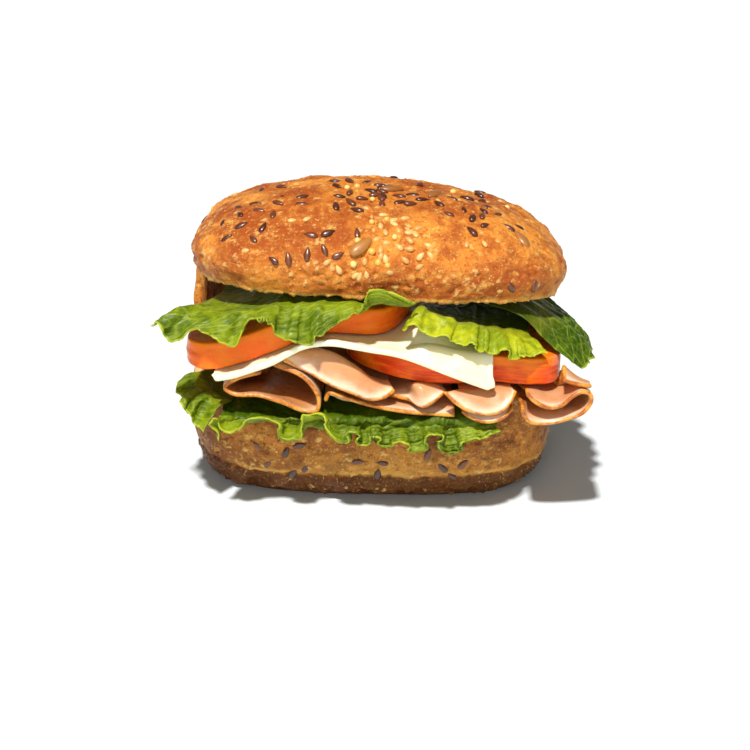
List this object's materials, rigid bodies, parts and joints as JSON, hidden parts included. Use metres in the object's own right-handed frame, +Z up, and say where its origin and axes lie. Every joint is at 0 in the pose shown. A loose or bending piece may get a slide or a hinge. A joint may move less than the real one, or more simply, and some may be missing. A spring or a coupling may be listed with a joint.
{
  "type": "turkey and swiss sandwich",
  "caption": "Seeded wheat roll filled with folded turkey slices, a swiss cheese slice, thick tomato slices and ruffled lettuce that show at the open front.",
  "frame": {"origin": "middle of the flat underside of the roll's bottom half, on the surface it rests on", "axes": "+Z up, -Y out of the open front where the fillings show, +X to the right as seen from the front"},
  "size_m": [0.1446, 0.1053, 0.0999],
  "materials": {
    "crust_top": "baked, matt, seeded",
    "crust_bottom": "baked, matt, seeded",
    "tomato": "moist, glossy",
    "cheese": "smooth, satin",
    "turkey": "moist, satin",
    "lettuce": "crisp, satin"
  },
  "bodies": {
    "root": {"roll_bottom": "crust_bottom", "roll_top": "crust_top", "tomato_right": "tomato", "tomato_left": "tomato", "swiss_cheese": "cheese", "turkey_fold_left": "turkey", "turkey_edge_middle": "turkey", "turkey_drape_left": "turkey", "turkey_drape_middle": "turkey", "turkey_bowl_right": "turkey", "turkey_edge_right": "turkey", "turkey_fold_right": "turkey", "turkey_flap_right": "turkey", "lettuce_lower_front": "lettuce", "lettuce_lower_left": "lettuce", "lettuce_upper_left": "lettuce", "lettuce_upper_frill": "lettuce", "lettuce_upper_right": "lettuce"}
  },
  "joints": []
}
